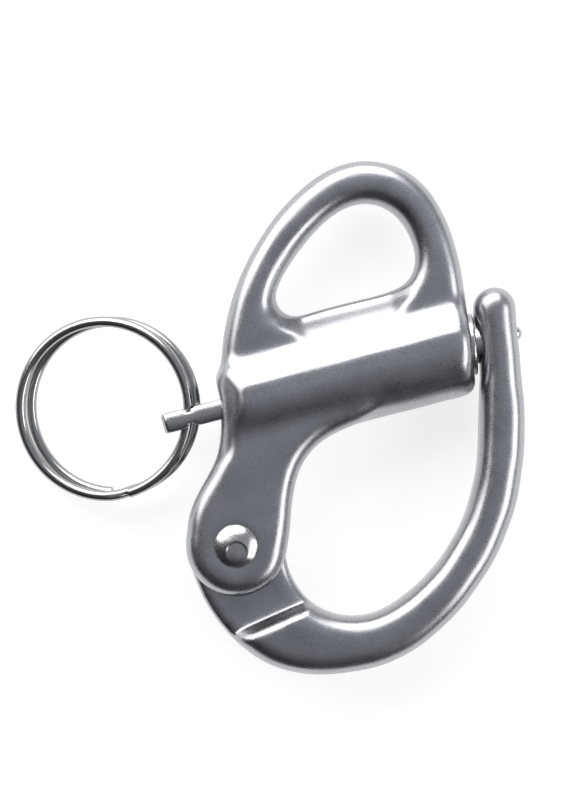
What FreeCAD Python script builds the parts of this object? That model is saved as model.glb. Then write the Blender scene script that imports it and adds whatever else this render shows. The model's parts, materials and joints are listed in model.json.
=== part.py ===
"""Snap shackle, 70 mm size, with a fixed bail: two castings, a rivet, a sprung plunger and its ring.

The shackle lies flat and +Z is its thickness.  Shapes are drawn about the rivet, with X along the
shackle's width and Y from the gate to the bail, then moved so that the origin is the middle of the
bounding box's floor.  The barrel's axis lies in the parting plane, halfway through the thickness,
and places along it are given as `s`, counted to the right from the point level with the rivet.
"""
import FreeCAD, Part
import math
import os

from FreeCAD import Placement, Rotation, Vector

# ---- driving dimensions, mm ----
BARREL_TURN = 14.5          # degrees from X to the barrel's axis
BARREL_RISE = 19.0          # where the axis passes above the rivet
BARREL_R = 6.65
BODY_LEFT = -2.2            # left face of the body
BODY_END_S = 33.05          # right face of the body, on the barrel's axis
END_LEAN = 6.0              # degrees that this face, the bush's and the gate's lean from Y
BARREL_EDGE_R = 1.6

BAIL_T = 7.6
BAIL_EDGE_R = 2.5
LEG_T = 11.0
LEG_EDGE_R = 2.5
LOBE_R = 7.0
SLOT_T = 5.0
SLOT_R = 9.4

GATE_T = 9.0
GATE_EDGE_R = 2.7
TONGUE_T = 4.8
TONGUE_R = 6.8
SHOULDER_R = 10.65          # from the rivet to the gate's shoulder
SHOULDER_TURN = 24.0        # degrees from X to the shoulder
SHOULDER_BEVEL = 0.5

PIN_R = 2.2
PIN_FIT = 0.05              # radial clearance in the tongue
HEAD_R = 3.1
HEAD_H = 1.1

ROD_R = 2.75                # the plunger's nose and stem
ROD_FIT = 0.05              # radial clearance in the bush and the end wall
STEM_FLATS = 2.75           # thickness of the stem across its flats
STEM_END_S = -10.35
STEM_CHAMFER = 0.5
NOSE_END_S = 40.25
TIP_R = 1.0
EYELET_S = -6.5             # cross hole for the ring
EYELET_R = 2.15

CHAMBER_R = 4.0
CHAMBER_S = 1.5
BUSH_R = 4.2
BUSH_IN_S = 29.0
BUSH_PROUD = 0.55
COLLAR_R = 3.9
COLLAR_L = 3.6
COLLAR_GAP = 0.05
SPRING_WIRE_R = 0.4
SPRING_R = 3.25
SPRING_TURNS = 9
LATCH_FIT = 0.15            # radial clearance of the nose in the gate

RING_WIRE_R = 0.72
RING_UPPER_R = 12.0         # wire centre line of the ring's upper turn
RING_LOWER_R = 11.75        # and of its lower turn
RING_CENTRE = Vector(-18.4, 18.45, 0)
RING_SHIFT = Vector(0.85, 0.2, 0)  # from the upper turn's centre to the lower turn's
RING_SEAM = -82.0           # degrees round the ring, where one turn crosses to the other
RING_JOG = 9.0              # degrees from the seam to each end of the crossing
RING_DROOP = 13.1           # degrees that the ring hangs below the parting plane

axis_dir = Vector(math.cos(math.radians(BARREL_TURN)), math.sin(math.radians(BARREL_TURN)), 0)
across_dir = Vector(-axis_dir.y, axis_dir.x, 0)


def on_axis(s, across=0.0, z=0.0):
    """The point at `s` along the barrel's axis, `across` it towards the bail, and `z` above it."""
    return Vector(0, BARREL_RISE, z) + axis_dir * s + across_dir * across


def rod(radius, s_from, s_to):
    """A round bar on the barrel's axis."""
    return Part.makeCylinder(radius, s_to - s_from, on_axis(s_from), axis_dir)


def cone(radius_from, radius_to, s_from, s_to):
    """A taper on the barrel's axis."""
    return Part.makeCone(radius_from, radius_to, s_to - s_from, on_axis(s_from), axis_dir)


def curve(points):
    """A smooth open edge through the points."""
    spline = Part.BSplineCurve()
    spline.interpolate([Vector(x, y, 0) for x, y in points])
    return spline.toShape()


def loop(points):
    """A smooth closed wire through the points."""
    spline = Part.BSplineCurve()
    spline.interpolate([Vector(x, y, 0) for x, y in points], PeriodicFlag=True)
    return Part.Wire([spline.toShape()])


def line(start, end):
    return Part.LineSegment(Vector(start[0], start[1], 0), Vector(end[0], end[1], 0)).toShape()


def plate(wire, thickness):
    """The wire's face as a prism, centred on the parting plane."""
    face = Part.Face(wire)
    face.translate(Vector(0, 0, -thickness / 2))
    return face.extrude(Vector(0, 0, thickness))


def rounded(solid, radius, straights=True):
    """The prism with both of its rims rounded, on its straight sides too or only on its curved ones."""
    top = solid.BoundBox.ZMax
    rims = [e for e in solid.Edges if e.BoundBox.ZLength < 0.01 and abs(abs(e.CenterOfMass.z) - top) < 0.01]
    return solid.makeFillet(radius, [e for e in rims if straights or e.Curve.TypeId != "Part::GeomLine"])


def flats(thickness, s_from, s_to):
    """A bar of the rod's section with two flats, which face the bail and the jaw."""
    bar = rod(ROD_R, s_from, s_to)
    slab = Part.makeBox(s_to - s_from, thickness, 4 * ROD_R, Vector(0, -thickness / 2, -2 * ROD_R))
    slab.Placement = Placement(on_axis(s_from), Rotation(Vector(0, 0, 1), BARREL_TURN)).multiply(
        slab.Placement)
    return bar.common(slab)


# ---- body: bail, barrel and clevis leg in one casting ----
def bail():
    outer = curve([(BODY_LEFT, 19.0), (-2.15, 25.1), (-1.1, 32.2), (2.6, 41.0), (8.5, 48.35),
                   (16.9, 52.4), (24.0, 50.45), (28.4, 44.9), (30.95, 35.8), (32.1, 27.3)])
    base = line((32.1, 27.3), (BODY_LEFT, 19.0))
    eye = loop([(17.5, 46.45), (21.3, 45.15), (23.9, 41.3), (24.15, 37.8), (23.2, 35.9), (21.3, 34.8),
                (15.6, 33.2), (9.5, 31.6), (7.0, 31.15), (5.4, 31.9), (5.3, 33.8), (7.2, 38.1), (11.4, 43.3)])
    return rounded(plate(Part.Wire([outer, base]), BAIL_T).cut(plate(eye, 2 * BAIL_T)), BAIL_EDGE_R, False)


def up_to_end(solid, proud=0.0):
    """The part of the solid between the body's left face and a leaning plane at its right face."""
    end = on_axis(BODY_END_S) + Vector(proud, 0, 0)
    reach = 3 * BARREL_R
    lean = reach * math.tan(math.radians(END_LEAN))
    corners = [Vector(BODY_LEFT, end.y - reach, 0), Vector(end.x + lean, end.y - reach, 0),
               Vector(end.x - lean, end.y + reach, 0), Vector(BODY_LEFT, end.y + reach, 0)]
    return solid.common(plate(Part.makePolygon(corners + corners[:1]), reach))


def barrel():
    """A cylinder between the body's two end faces, with rounded ends."""
    bar = up_to_end(rod(BARREL_R, -2 * BARREL_R, BODY_END_S + 2 * BARREL_R))
    ends = [e for e in bar.Edges if e.BoundBox.ZLength > BARREL_R and e.BoundBox.XLength < 2 * BARREL_R]
    return bar.makeFillet(BARREL_EDGE_R, ends)


def leg():
    """The clevis leg, whose foot is a round lobe about the rivet."""
    left_foot, right_foot = [Rotation(Vector(0, 0, 1), turn).multVec(Vector(LOBE_R, 0, 0)) for turn in (165, -8)]
    left = curve([(BODY_LEFT, 19.0), (-2.25, 15.0), (-3.1, 11.2), (-5.2, 7.3), (left_foot.x, left_foot.y)])
    foot = Part.Arc(left_foot, Vector(0, -LOBE_R, 0), right_foot).toShape()
    right = curve([(right_foot.x, right_foot.y), (7.35, 2.0), (7.75, 6.5), (8.95, 10.8), (11.6, 13.95),
                   (15.3, 15.9), (22.0, 24.6)])
    top = line((22.0, 24.6), (BODY_LEFT, 19.0))
    return rounded(plate(Part.Wire([left, foot, right, top]), LEG_T), LEG_EDGE_R)


def body():
    casting = barrel().fuse([bail(), leg()])
    slot = Part.makeCylinder(SLOT_R, SLOT_T, Vector(0, 0, -SLOT_T / 2))
    rivet_hole = Part.makeCylinder(PIN_R, 2 * LEG_T, Vector(0, 0, -LEG_T))
    chamber = rod(CHAMBER_R, CHAMBER_S, BUSH_IN_S)
    bush_seat = rod(BUSH_R, BUSH_IN_S, BODY_END_S + 2)
    stem_hole = flats(STEM_FLATS, -2 * BARREL_R, CHAMBER_S + 1).makeOffsetShape(ROD_FIT, 1e-3)
    return casting.cut([slot, rivet_hole, chamber, bush_seat, stem_hole])


# ---- gate: the curved jaw arm ----
def gate():
    inner = curve([(33.25, 23.2), (32.95, 14.0), (32.4, 8.6), (29.55, 0.9), (24.3, -5.75), (17.0, -9.65),
                   (10.9, -8.35), (7.5, -4.2), (TONGUE_R, 0)])
    tongue_end = Part.Arc(Vector(TONGUE_R, 0, 0), Vector(0, TONGUE_R, 0), Vector(-TONGUE_R, 0, 0)).toShape()
    outer = curve([(-TONGUE_R, 0), (-5.8, -4.5), (-2.2, -11.0), (3.1, -15.65), (7.4, -17.4),
                   (12.2, -17.8), (23.6, -14.7), (32.3, -6.6), (37.7, 4.0), (39.35, 15.8), (38.75, 25.3), (38.0, 31.9)])
    tip = Part.Arc(Vector(38.0, 31.9, 0), Vector(35.1, 35.25, 0), Vector(32.3, 32.2, 0)).toShape()
    face = line((32.3, 32.2), (33.25, 23.2))
    arm = rounded(plate(Part.Wire([inner, tongue_end, outer, tip, face]), GATE_T), GATE_EDGE_R)
    hole = rod(ROD_R + LATCH_FIT, 30.0, 36.4).fuse([
        cone(ROD_R + LATCH_FIT, TIP_R + LATCH_FIT, 36.4, 38.0), rod(TIP_R + LATCH_FIT, 38.0, 42.0)])
    bore = Part.makeCylinder(PIN_R + PIN_FIT, 2 * GATE_T, Vector(0, 0, -GATE_T))
    return arm.cut([recess(1), recess(-1), hole, bore])


def recess(side):
    """The pocket that thins the gate to its tongue, on one side, with a bevelled shoulder."""
    depth = (GATE_T - TONGUE_T) / 2 + 1
    reach = 4 * SHOULDER_R
    profile = Part.makePolygon([
        Vector(0, -SHOULDER_R, TONGUE_T / 2), Vector(0, reach, TONGUE_T / 2),
        Vector(0, reach, TONGUE_T / 2 + depth),
        Vector(0, -SHOULDER_R - SHOULDER_BEVEL * depth / (depth - 1), TONGUE_T / 2 + depth),
        Vector(0, -SHOULDER_R, TONGUE_T / 2)])
    pocket = Part.Face(profile).extrude(Vector(reach, 0, 0))
    pocket.translate(Vector(-reach / 2, 0, 0))
    pocket.rotate(Vector(), Vector(0, 0, 1), SHOULDER_TURN)
    near = Part.makeCylinder(SHOULDER_R + 3 * SHOULDER_BEVEL, 2 * GATE_T, Vector(0, 0, -GATE_T))
    pocket = pocket.common(near)
    return pocket if side > 0 else pocket.mirror(Vector(), Vector(0, 0, 1))


# ---- pivot rivet ----
def pivot_rivet():
    """A pin with a low dome peened on each end."""
    dome_r = (HEAD_R ** 2 + HEAD_H ** 2) / (2 * HEAD_H)
    shank = Part.makeCylinder(PIN_R, LEG_T, Vector(0, 0, -LEG_T / 2))
    heads = []
    for side in (1, -1):
        ball = Part.makeSphere(dome_r, Vector(0, 0, side * (LEG_T / 2 + HEAD_H - dome_r)))
        disc = Part.makeCylinder(HEAD_R, HEAD_H, Vector(0, 0, side * LEG_T / 2), Vector(0, 0, side))
        heads.append(ball.common(disc))
    return shank.fuse(heads)


# ---- plunger, bush and spring ----
def plunger():
    """Nose, collar and flat-sided pull stem in one bar."""
    collar_end = BUSH_IN_S - COLLAR_GAP
    stem = flats(STEM_FLATS, STEM_END_S, collar_end - COLLAR_L)
    chamfered = rod(ROD_R, STEM_END_S + STEM_CHAMFER, collar_end).fuse(
        cone(ROD_R - STEM_CHAMFER, ROD_R, STEM_END_S, STEM_END_S + STEM_CHAMFER))
    collar = rod(COLLAR_R, collar_end - COLLAR_L, collar_end)
    nose = rod(ROD_R, collar_end, 36.2).fuse([
        cone(ROD_R, TIP_R, 36.2, 37.8), rod(TIP_R, 37.8, NOSE_END_S - TIP_R),
        Part.makeSphere(TIP_R, on_axis(NOSE_END_S - TIP_R))])
    eyelet = Part.makeCylinder(EYELET_R, 4 * ROD_R, on_axis(EYELET_S, -2 * ROD_R), across_dir)
    return stem.common(chamfered).fuse([collar, nose]).cut(eyelet).removeSplitter()


def end_bush():
    """The bush that closes the chamber; the gate shuts against its face."""
    bush = up_to_end(rod(BUSH_R, BUSH_IN_S, BODY_END_S + 2 * BUSH_R), BUSH_PROUD)
    return bush.cut(rod(ROD_R + ROD_FIT, 0, 2 * BODY_END_S))


def spring():
    """An open coil between the end wall and the plunger's collar, of half circles end to end."""
    start = CHAMBER_S + SPRING_WIRE_R + 0.05
    length = BUSH_IN_S - COLLAR_GAP - COLLAR_L - SPRING_WIRE_R - 0.05 - start
    rise = length / SPRING_TURNS / 2
    halves = []
    for i in range(2 * SPRING_TURNS):
        side = SPRING_R if i % 2 == 0 else -SPRING_R
        halves.append(Part.Arc(Vector(side, 0, i * rise), Vector(0, side, (i + 0.5) * rise),
                               Vector(-side, 0, (i + 1) * rise)).toShape())
    heading = halves[0].tangentAt(halves[0].FirstParameter)
    section = Part.Wire(Part.makeCircle(SPRING_WIRE_R, Vector(SPRING_R, 0, 0), heading))
    coil = Part.Wire(halves).makePipeShell([section], True, False)
    coil.Placement = Placement(on_axis(start), Rotation(Vector(0, 0, 1), axis_dir))
    return coil


# ---- split ring ----
def ring_arc(centre, radius, z, degrees):
    """An arc of one turn, through the three places given."""
    return Part.Arc(*[centre + Vector(radius * math.cos(math.radians(a)), radius * math.sin(math.radians(a)), z)
                      for a in degrees])


def split_ring():
    """Two turns of wire side by side: the wire leaves one turn at the seam and enters the other."""
    ends = (RING_SEAM + RING_JOG, RING_SEAM + 180, RING_SEAM + 360 - RING_JOG)
    upper = ring_arc(RING_CENTRE, RING_UPPER_R, RING_WIRE_R, ends)
    lower = ring_arc(RING_CENTRE + RING_SHIFT, RING_LOWER_R, -RING_WIRE_R, ends)
    jog = Part.BSplineCurve()
    leave, enter = upper.tangent(upper.LastParameter)[0], lower.tangent(lower.FirstParameter)[0]
    jog.interpolate(Points=[upper.EndPoint, lower.StartPoint], InitialTangent=leave, FinalTangent=enter)
    path = Part.Wire([upper.toShape(), jog.toShape(), lower.toShape()])
    section = Part.Wire(Part.makeCircle(RING_WIRE_R, upper.StartPoint, upper.tangent(upper.FirstParameter)[0]))
    ring = path.makePipeShell([section], True, True)
    ring.rotate(on_axis(EYELET_S), across_dir, -RING_DROOP)
    return ring


def main():
    shapes = {
        "body": body(), "gate": gate(), "pivot_rivet": pivot_rivet(), "plunger": plunger(),
        "end_bush": end_bush(), "spring": spring(), "split_ring": split_ring(),
    }
    box = Part.makeCompound(list(shapes.values())).optimalBoundingBox(False)
    floor_centre = Vector(box.Center.x, box.Center.y, box.ZMin)
    os.makedirs("parts", exist_ok=True)
    for name, shape in shapes.items():
        shape.translate(-floor_centre)
        shape.exportStep(f"parts/{name}.step")
        print(f"{name:12s} solids {len(shape.Solids)} valid {shape.isValid()} volume {shape.Volume:.1f} mm3")
    print(f"box {box.XLength:.2f} x {box.YLength:.2f} x {box.ZLength:.2f} mm, rivet axis at "
          f"{-floor_centre.x:.3f}, {-floor_centre.y:.3f}, parting plane {-floor_centre.z:.3f}")


main()
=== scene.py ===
"""The looks of the snap shackle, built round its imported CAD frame.

Castings, plunger, bush and rivet are grown from their CAD nodes as distance fields on a fine grid.
There the castings' inner corners are filled and their edges rounded, the turned pieces' edges are
broken, the rivet gets its punch marks, and castings and rivet get a slight waviness.  The wire
pieces keep their CAD meshes.  Lengths in the fields are millimetres; in Blender they are metres.

Along the barrel, lengths count from the eyelet, which is where the ring goes through the stem.
"Side" counts from the barrel's axis towards the bail, "height" from the parting plane both ways.
"""

import json
import math

import bpy
import numpy as np
import openvdb
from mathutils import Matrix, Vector

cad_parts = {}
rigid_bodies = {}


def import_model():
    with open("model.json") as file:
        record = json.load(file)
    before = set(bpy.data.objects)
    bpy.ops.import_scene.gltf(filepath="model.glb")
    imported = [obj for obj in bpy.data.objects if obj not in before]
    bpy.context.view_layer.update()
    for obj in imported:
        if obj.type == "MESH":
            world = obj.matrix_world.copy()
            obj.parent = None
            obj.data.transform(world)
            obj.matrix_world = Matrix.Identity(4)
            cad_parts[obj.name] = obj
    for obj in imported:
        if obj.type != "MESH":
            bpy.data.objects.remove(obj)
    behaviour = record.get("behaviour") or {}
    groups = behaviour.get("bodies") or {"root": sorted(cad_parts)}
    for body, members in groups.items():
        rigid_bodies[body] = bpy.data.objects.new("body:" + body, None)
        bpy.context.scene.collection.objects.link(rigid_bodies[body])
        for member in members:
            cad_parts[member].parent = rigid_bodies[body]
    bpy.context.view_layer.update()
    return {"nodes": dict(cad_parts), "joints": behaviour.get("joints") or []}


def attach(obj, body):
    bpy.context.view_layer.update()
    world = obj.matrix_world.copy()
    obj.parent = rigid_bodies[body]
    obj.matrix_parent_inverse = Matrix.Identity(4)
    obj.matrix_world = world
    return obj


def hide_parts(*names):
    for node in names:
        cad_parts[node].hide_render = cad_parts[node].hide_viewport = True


for leftover in list(bpy.data.objects):
    bpy.data.objects.remove(leftover)
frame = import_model()

MM = 0.001

# ---- places, from the frame: millimetres ----
JOINTS = {joint["name"]: joint for joint in frame["joints"]}


def in_mm(values):
    return np.array(values, dtype=np.float64) / MM


PIVOT = in_mm(JOINTS["gate_hinge"]["pos_m"])
EYELET = in_mm(JOINTS["ring_swing"]["pos_m"])
PULL = np.array(JOINTS["plunger_pull"]["axis"])     # the way that the plunger is drawn out
MIDDLE = PIVOT[2]                                   # the parting plane's own Z

# ---- sizes shared by several functions: millimetres ----
CAST_VOXEL, TURNED_VOXEL, RIVET_VOXEL = 0.26, 0.13, 0.1
CAST_WAVE = 0.03            # height of the castings' waviness
CHAMBER_R = 4.0             # the barrel's bore
SLOT_R = 9.4                # the slot between the cheeks, about the rivet
SLOT_HALF = 2.5
BARREL_SKIN = 3.9           # side where the web meets the barrel's skin ...
SKIN_HEIGHT = 5.39          # ... and the skin's height there
WEB_SIDE = 7.6              # side where the slope beside the barrel ends
SPARE = 1.7                 # how far past its new surface a rolled field still reaches
INSET = 2.4                 # a wavy skin moves in by this many times its waviness's height


# ---- distance fields ----
class Field:
    """A signed distance on a grid of points round a piece, negative inside it."""

    def __init__(self, low, voxel, values):
        self.low, self.voxel, self.values = low, voxel, values

    @staticmethod
    def of_mesh(points, triangles, quads, low, shape, voxel, reach):
        """The field of a closed mesh, right up to `reach` from it on both sides."""
        transform = openvdb.createLinearTransform(voxelSize=voxel)
        grid = openvdb.FloatGrid.createLevelSetFromPolygons(
            (points - low).astype(np.float32), triangles, quads, transform, reach / voxel + 2)
        values = np.empty(shape, dtype=np.float32)
        grid.copyToArray(values)
        return Field(low, voxel, values)

    @staticmethod
    def of_node(name, voxel, reach):
        mesh = frame["nodes"][name].data
        points = np.empty(3 * len(mesh.vertices))
        mesh.vertices.foreach_get("co", points)
        points = points.reshape(-1, 3) / MM
        mesh.calc_loop_triangles()
        triangles = np.empty(3 * len(mesh.loop_triangles), dtype=np.uint32)
        mesh.loop_triangles.foreach_get("vertices", triangles)
        margin = reach + 3 * voxel
        low = points.min(axis=0) - margin
        shape = np.ceil((points.max(axis=0) + margin - low) / voxel).astype(int) + 1
        return Field.of_mesh(points, triangles.reshape(-1, 3), None, low, tuple(shape), voxel,
                             reach)

    def places(self):
        """The grid's X, Y and Z, each shaped to combine with the others."""
        return [(self.low[axis] + self.voxel * np.arange(count))
                .reshape([-1 if other == axis else 1 for other in range(3)])
                for axis, count in enumerate(self.values.shape)]

    def surface(self, level=0.0):
        """Points and quads of the surface where the field has this value."""
        grid = openvdb.FloatGrid(float(self.values.max()))
        grid.copyFromArray(self.values)
        grid.transform = openvdb.createLinearTransform(voxelSize=self.voxel)
        points, quads = grid.convertToQuads(level)
        return points + self.low, quads

    def rolled(self, radius):
        """Rounds inner corners to the radius, or outer edges if it is negative."""
        points, quads = self.surface(radius)
        moved = Field.of_mesh(points, None, quads, self.low, self.values.shape, self.voxel,
                              abs(radius) + SPARE)
        self.values = moved.values + np.float32(radius)
        return self

    def smoothed(self, passes):
        """Averages each value with its neighbours along X, Y and Z."""
        for _ in range(passes):
            for axis in range(3):
                v = np.moveaxis(self.values, axis, 0)
                v[1:-1] = 0.25 * v[:-2] + 0.5 * v[1:-1] + 0.25 * v[2:]
        return self

    def joined(self, other):
        """Adds another field's shape."""
        self.values = np.minimum(self.values, other).astype(np.float32)
        return self

    def cut(self, tool, soften=0.0):
        """Takes a tool's field away, breaking the new edge by about `soften`."""
        a, b = self.values, -tool
        if soften:
            h = np.clip(0.5 + 0.5 * (a - b) / soften, 0, 1)
            self.values = (b + (a - b) * h + soften * h * (1 - h)).astype(np.float32)
        else:
            self.values = np.maximum(a, b).astype(np.float32)
        return self

    def wavy(self, height, seed, waves=28, longest=14.0, shortest=5.0):
        """Presses a faint random waviness into the skin, never outwards."""
        draw = np.random.default_rng(seed)
        x, y, z = self.places()
        total = np.zeros(self.values.shape, dtype=np.float32)
        for _ in range(waves):
            heading = draw.normal(size=3)
            heading *= 2 * math.pi / (np.linalg.norm(heading) * draw.uniform(shortest, longest))
            total += np.sin(x * heading[0] + y * heading[1] + z * heading[2]
                            + draw.uniform(0, 2 * math.pi)).astype(np.float32)
        scale = np.float32(height / math.sqrt(waves / 2))
        self.values += scale * total + np.float32(INSET * height)
        return self

    def make(self, name):
        """The field's surface as a smooth Blender object."""
        points, quads = self.surface()
        mesh = bpy.data.meshes.new(name)
        mesh.from_pydata((points * MM).tolist(), [], quads[:, ::-1].tolist())
        mesh.validate()
        mesh.shade_smooth()
        piece = bpy.data.objects.new(name, mesh)
        bpy.context.collection.objects.link(piece)
        return piece


def off_axis(field):
    """How far each place is along the barrel, and to the side of its axis."""
    x, y, _ = field.places()
    along = -(x - EYELET[0]) * PULL[0] - (y - EYELET[1]) * PULL[1]
    side = (x - EYELET[0]) * PULL[1] - (y - EYELET[1]) * PULL[0]
    return along, side


def off_middle(field):
    """How far each place is above the parting plane, negative below it."""
    return field.places()[2] - MIDDLE


def outside(values, start, end):
    """How far values are outside a span, negative inside it."""
    return np.maximum(start - values, values - end)


def bar(field, radius, start, end):
    """Field of a round bar on the barrel's axis."""
    along, side = off_axis(field)
    round_about = np.sqrt(side ** 2 + off_middle(field) ** 2) - radius
    return np.maximum(round_about, outside(along, start, end))


def nose_hole(field, room):
    """Field of the gate's latch hole: wide for the plunger's nose, then narrow for its tip."""
    narrows = (42.9, 44.5)
    radii = (2.9, 1.15)
    along, side = off_axis(field)
    radius = np.interp(along, narrows, radii) + room
    return np.sqrt(side ** 2 + off_middle(field) ** 2) - radius


def web_root(field):
    """What the web has beside the barrel: a slope that leaves the barrel's skin smoothly."""
    fall = 0.78                 # lost in height for each millimetre to the side
    to_distance = 0.79          # from a difference in height to a distance from the slope
    start, end = 8.5, 37.5
    along, side = off_axis(field)
    height = np.abs(off_middle(field))
    slope = to_distance * (height - SKIN_HEIGHT + fall * (side - BARREL_SKIN))
    beyond = np.maximum(outside(along, start, end), outside(side, BARREL_SKIN, WEB_SIDE))
    return np.maximum(slope, beyond)


def sloping_web(field):
    """What the web between barrel and eye lacks: it slopes down to the eye's edge."""
    sides = (BARREL_SKIN, WEB_SIDE, 9.0)
    heights = (SKIN_HEIGHT, 2.5, 1.1)
    start, end = 18.2, 30.4     # the full slope; past these it climbs back to the arms
    climb = 0.7
    to_distance = 0.8
    nearest, farthest = 4.0, 10.6
    along, side = off_axis(field)
    height = np.abs(off_middle(field))
    skin = np.interp(side, sides, heights)
    ends = climb * np.maximum(0, outside(along, start, end))
    return np.maximum(to_distance * (skin + ends - height), outside(side, nearest, farthest))


def back_corner(field):
    """What the barrel lacks at its back end: a broad bevel, which the rolling then rounds."""
    level = 3.7                 # height where the bevel starts ...
    edge = PIVOT[0] - 2.2       # ... at this X
    half_width = 7.2            # leaves the pivot's lobe alone
    to_distance = 0.7
    x = field.places()[0]
    _, side = off_axis(field)
    past = to_distance * (level - np.abs(off_middle(field)) + x - edge)
    return np.maximum(past, np.abs(side) - half_width)


def off_rivet(field):
    """How far each place is from the rivet's axis."""
    x, y, _ = field.places()
    return np.hypot(x - PIVOT[0], y - PIVOT[1])


def shoulder(field):
    """Field of the pockets that leave the gate's tongue, crisp where they meet it."""
    turn = math.radians(24.0)
    tongue_half = 2.4
    behind = 10.65              # from the rivet to the shoulder's line
    bevel = 0.5
    to_distance = 0.9
    pocket_r = 12.15
    x, y, _ = field.places()
    ahead = -math.sin(turn) * (x - PIVOT[0]) + math.cos(turn) * (y - PIVOT[1])
    above = np.abs(off_middle(field)) - tongue_half
    face = -to_distance * (ahead + behind + bevel * above)
    return np.maximum(np.maximum(-above, face), off_rivet(field) - pocket_r)


def disc(field, radius, half_height):
    """Field of a disc about the rivet, level with the parting plane."""
    return np.maximum(off_rivet(field) - radius, np.abs(off_middle(field)) - half_height)


def filled_cheeks(field):
    """The field with the clevis slot filled in, by lengthening the cheeks' outline through it."""
    cheek_level = 2.75          # height where a cheek has its full outline
    margin = 0.8
    layer = np.arange(field.values.shape[2])
    reach = int(round(cheek_level / field.voxel))
    middle = int(round((MIDDLE - field.low[2]) / field.voxel))
    cheek = np.where(off_middle(field).ravel() >= 0, middle + reach, middle - reach)
    source = np.where(np.abs(layer - middle) < reach, cheek, layer)
    near = off_rivet(field)[:, :, 0] < SLOT_R + margin
    values = field.values.copy()
    values[near] = field.values[:, :, source][near]
    return values


# ---- the pieces ----
def body():
    """Bore and slot are filled while the corners are rounded, and cut again afterwards."""
    fillet, edge = 2.3, 1.6
    fill_r = CHAMBER_R + 0.6
    fill_start, fill_end = 4.5, 39.0
    chamber_start, past_mouth = 8.0, 60.0
    field = Field.of_node("body", CAST_VOXEL, fillet)
    field.values = filled_cheeks(field)
    field.cut(back_corner(field))
    field.joined(bar(field, fill_r, fill_start, fill_end))
    field.joined(web_root(field))
    field.rolled(fillet).rolled(-edge)
    field.cut(sloping_web(field)).smoothed(passes=6)
    field.cut(bar(field, CHAMBER_R, chamber_start, past_mouth), soften=0.3)
    field.cut(disc(field, SLOT_R, SLOT_HALF), soften=0.35)
    field.wavy(CAST_WAVE, seed=5)
    piece = field.make("body_casting")
    finish_piece(piece, "body", "shackle_body", cast_steel)


def gate():
    """The latch hole is filled while the corners are rounded, and cut again afterwards."""
    fillet, edge = 0.9, 1.3
    fill_room = 0.15
    around, fill_start, fill_end = 9.0, 40.6, 45.2      # a bar that holds the gate's tip
    field = Field.of_node("gate", CAST_VOXEL, reach=1.5)
    tip = bar(field, around, fill_start, fill_end)
    field.joined(np.maximum(nose_hole(field, fill_room), tip))
    field.rolled(fillet).rolled(-edge).smoothed(passes=8)
    field.cut(shoulder(field), soften=1.4)
    field.cut(nose_hole(field, room=0.0), soften=0.2)
    field.wavy(CAST_WAVE, seed=11)
    piece = field.make("gate_casting")
    finish_piece(piece, "gate", "gate", cast_steel)


def plunger():
    edge = 0.22
    field = Field.of_node("plunger", TURNED_VOXEL, reach=0.4)
    field.rolled(-edge)
    piece = field.make("plunger_bar")
    finish_piece(piece, "plunger", "plunger", turned_steel)


def pivot_rivet():
    """Each peened end has a flat, round punch mark a little off its middle."""
    mark_x, mark_y = 0.1, -0.7  # the mark's middle, from the rivet's axis
    mark_r = 1.25
    floor_level = 6.3           # height of the mark's flat floor
    field = Field.of_node("pivot_rivet", RIVET_VOXEL, reach=0.5)
    x, y, _ = field.places()
    mark = np.hypot(x - PIVOT[0] - mark_x, y - PIVOT[1] - mark_y) - mark_r
    for face in (1, -1):
        field.cut(np.maximum(mark, floor_level - face * off_middle(field)), soften=0.25)
    field.wavy(0.012, seed=3, longest=3.4, shortest=1.3)
    piece = field.make("rivet_peened")
    finish_piece(piece, "pivot_rivet", "shackle_body", turned_steel)


def end_bush():
    edge = 0.2
    field = Field.of_node("end_bush", TURNED_VOXEL, reach=0.4)
    field.rolled(-edge)
    piece = field.make("latch_bush")
    finish_piece(piece, "end_bush", "shackle_body", turned_steel)


def finish_piece(piece, node, body_name, material):
    """Puts a grown piece in its CAD node's place, on the body that it moves with."""
    piece.data.materials.append(material)
    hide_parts(node)
    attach(piece, body_name)


# ---- materials ----
def map_range(tree, source, from_low, from_high, low, high):
    """A node that maps one span to another; returns its output."""
    node = tree.nodes.new("ShaderNodeMapRange")
    settings = {"From Min": from_low, "From Max": from_high, "To Min": low, "To Max": high}
    for socket, value in settings.items():
        node.inputs[socket].default_value = value
    tree.links.new(source, node.inputs["Value"])
    return node.outputs["Result"]


# Noise stays near its middle value, so colours and spans stretch this part of it.
NOISE_LOW, NOISE_HIGH = 0.3, 0.7


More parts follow.
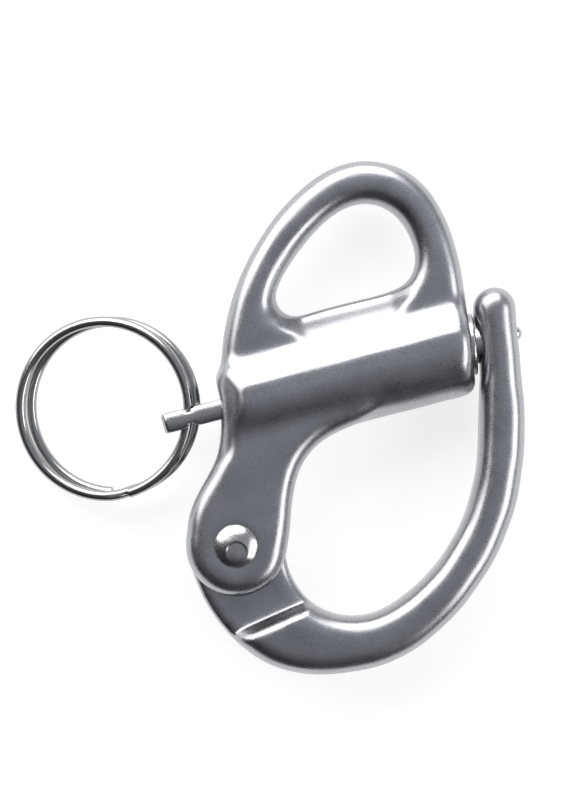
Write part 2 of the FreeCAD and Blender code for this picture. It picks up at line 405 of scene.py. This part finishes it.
class Nodes:
    """Short names for building a material's nodes."""

    def __init__(self, name):
        self.material = bpy.data.materials.new(name)
        self.material.use_nodes = True
        self.tree = self.material.node_tree
        self.shader = self.tree.nodes["Principled BSDF"]
        self.place = self.add("ShaderNodeTexCoord").outputs["Object"]

    def add(self, kind):
        return self.tree.nodes.new(kind)

    def link(self, source, target):
        self.tree.links.new(source, target)

    def noise(self, size, detail=2.0, roughness=0.5):
        """Noise whose grains are about `size` millimetres."""
        node = self.add("ShaderNodeTexNoise")
        node.inputs["Scale"].default_value = 1 / (size * MM)
        node.inputs["Detail"].default_value = detail
        node.inputs["Roughness"].default_value = roughness
        self.link(self.place, node.inputs["Vector"])
        return node.outputs["Fac"]

    def span(self, source, low, high):
        return map_range(self.tree, source, NOISE_LOW, NOISE_HIGH, low, high)

    def sum(self, first, second):
        node = self.add("ShaderNodeMath")
        node.operation = "ADD"
        self.link(first, node.inputs[0])
        self.link(second, node.inputs[1])
        return node.outputs[0]

    def colours(self, source, dark, light):
        node = self.add("ShaderNodeValToRGB")
        node.color_ramp.elements[0].position = NOISE_LOW
        node.color_ramp.elements[1].position = NOISE_HIGH
        node.color_ramp.elements[0].color = (*dark, 1)
        node.color_ramp.elements[1].color = (*light, 1)
        self.link(source, node.inputs["Fac"])
        return node.outputs["Color"]

    def bump(self, source, height, below=None):
        """Relief of `height` millimetres, on top of the relief `below`."""
        node = self.add("ShaderNodeBump")
        node.inputs["Distance"].default_value = height * MM
        node.inputs["Strength"].default_value = 1.0
        self.link(source, node.inputs["Height"])
        if below:
            self.link(below, node.inputs["Normal"])
        return node.outputs["Normal"]


def steel(name, dark, light, rough, grain, mottle, relief):
    """Stainless steel: fine grain in its colour, and grain and mottling in gloss and relief.

    `grain` and `mottle` are sizes in millimetres; `rough` and `relief` are pairs, the second
    pair being the heights of the fine relief and of the broad one.
    """
    gloss_swing = 0.03
    nodes = Nodes(name)
    fine = nodes.noise(grain, detail=3.0, roughness=0.6)
    broad = nodes.noise(mottle)
    nodes.shader.inputs["Metallic"].default_value = 1.0
    nodes.link(nodes.colours(fine, dark, light), nodes.shader.inputs["Base Color"])
    gloss = nodes.sum(nodes.span(fine, *rough), nodes.span(broad, -gloss_swing, gloss_swing))
    nodes.link(gloss, nodes.shader.inputs["Roughness"])
    fine_height, broad_height = relief
    broad_relief = nodes.bump(broad, broad_height)
    both = nodes.bump(fine, fine_height, below=broad_relief)
    nodes.link(both, nodes.shader.inputs["Normal"])
    return nodes.material


cast_steel = steel(
    "cast_stainless", dark=(0.365, 0.37, 0.385), light=(0.48, 0.485, 0.50),
    rough=(0.25, 0.34), grain=0.17, mottle=2.2, relief=(0.006, 0.010))
turned_steel = steel(
    "turned_stainless", dark=(0.44, 0.435, 0.43), light=(0.56, 0.555, 0.55),
    rough=(0.20, 0.28), grain=0.2, mottle=1.5, relief=(0.004, 0.006))
wire_steel = steel(
    "wire_stainless", dark=(0.36, 0.358, 0.35), light=(0.47, 0.467, 0.46),
    rough=(0.14, 0.21), grain=0.15, mottle=1.2, relief=(0.003, 0.004))


def dress(node, material):
    """Gives a CAD node that stays in view its material."""
    data = frame["nodes"][node].data
    data.materials.clear()
    data.materials.append(material)


# ---- the studio ----
def floor():
    """Pale and without gloss; it glows, so that the shackle's shadow stays faint."""
    width, drop, glow = 4.0, 0.00002, 0.77
    bpy.ops.mesh.primitive_plane_add(size=width, location=(0, 0, -drop))
    plane = bpy.context.object
    plane.name = "floor"
    nodes = Nodes("pale_floor")
    nodes.shader.inputs["Base Color"].default_value = (0.4, 0.4, 0.4, 1)
    nodes.shader.inputs["Roughness"].default_value = 0.9
    nodes.shader.inputs["Specular IOR Level"].default_value = 0.0
    nodes.shader.inputs["Emission Color"].default_value = (1, 1, 1, 1)
    nodes.shader.inputs["Emission Strength"].default_value = glow
    plane.data.materials.append(nodes.material)


def softbox(name, azimuth, elevation, across, up, power, distance=0.55):
    """A panel that faces the shackle, and how many degrees wide and high it looks from there.

    Azimuth counts from +X towards +Y.
    """
    light = bpy.data.lights.new(name, "AREA")
    light.shape = "RECTANGLE"
    light.size = 2 * distance * math.tan(math.radians(across / 2))
    light.size_y = 2 * distance * math.tan(math.radians(up / 2))
    light.energy = power
    panel = bpy.data.objects.new(name, light)
    a, e = math.radians(azimuth), math.radians(elevation)
    heading = Vector((math.cos(e) * math.cos(a), math.cos(e) * math.sin(a), math.sin(e)))
    panel.location = heading * distance
    panel.rotation_euler = (-panel.location).to_track_quat("-Z", "Y").to_euler()
    panel.visible_camera = False
    bpy.context.collection.objects.link(panel)


def studio():
    """Two softboxes, in a cool room that gets darker towards -Y and towards -X."""
    softbox("window", azimuth=116, elevation=32, across=88, up=54, power=5.4)
    softbox("side", azimuth=-14, elevation=34, across=50, up=26, power=1.3)
    world = bpy.context.scene.world or bpy.data.worlds.new("room")
    bpy.context.scene.world = world
    world.use_nodes = True
    tree = world.node_tree
    place = tree.nodes.new("ShaderNodeTexCoord")
    parts = tree.nodes.new("ShaderNodeSeparateXYZ")
    tree.links.new(place.outputs["Generated"], parts.inputs["Vector"])
    fade = map_range(tree, parts.outputs["Y"], from_low=-0.75, from_high=0.15, low=0.07, high=0.42)
    dim = map_range(tree, parts.outputs["X"], from_low=-0.6, from_high=0.0, low=0.25, high=1.0)
    both = tree.nodes.new("ShaderNodeMath")
    both.operation = "MULTIPLY"
    tree.links.new(fade, both.inputs[0])
    tree.links.new(dim, both.inputs[1])
    room = tree.nodes["Background"]
    room.inputs["Color"].default_value = (0.91, 0.95, 1.065, 1)
    tree.links.new(both.outputs["Value"], room.inputs["Strength"])


def camera():
    """Straight above, with the bail at the top of the picture."""
    lens, sensor = 135.0, 36.0
    height_seen = 0.1076        # metres, at the parting plane
    across, up = 0.0035, 0.0033
    data = bpy.data.cameras.new("camera")
    data.lens = lens
    data.sensor_width = sensor
    data.sensor_fit = "VERTICAL"
    data.sensor_height = sensor
    data.clip_start = 0.01
    cam = bpy.data.objects.new("camera", data)
    cam.location = (across, up, MIDDLE * MM + height_seen * lens / sensor)
    bpy.context.collection.objects.link(cam)
    bpy.context.scene.camera = cam
    bpy.context.scene.view_settings.view_transform = "Standard"


camera()
studio()
floor()
body()
gate()
plunger()
end_bush()
pivot_rivet()
dress("spring", wire_steel)
dress("split_ring", wire_steel)
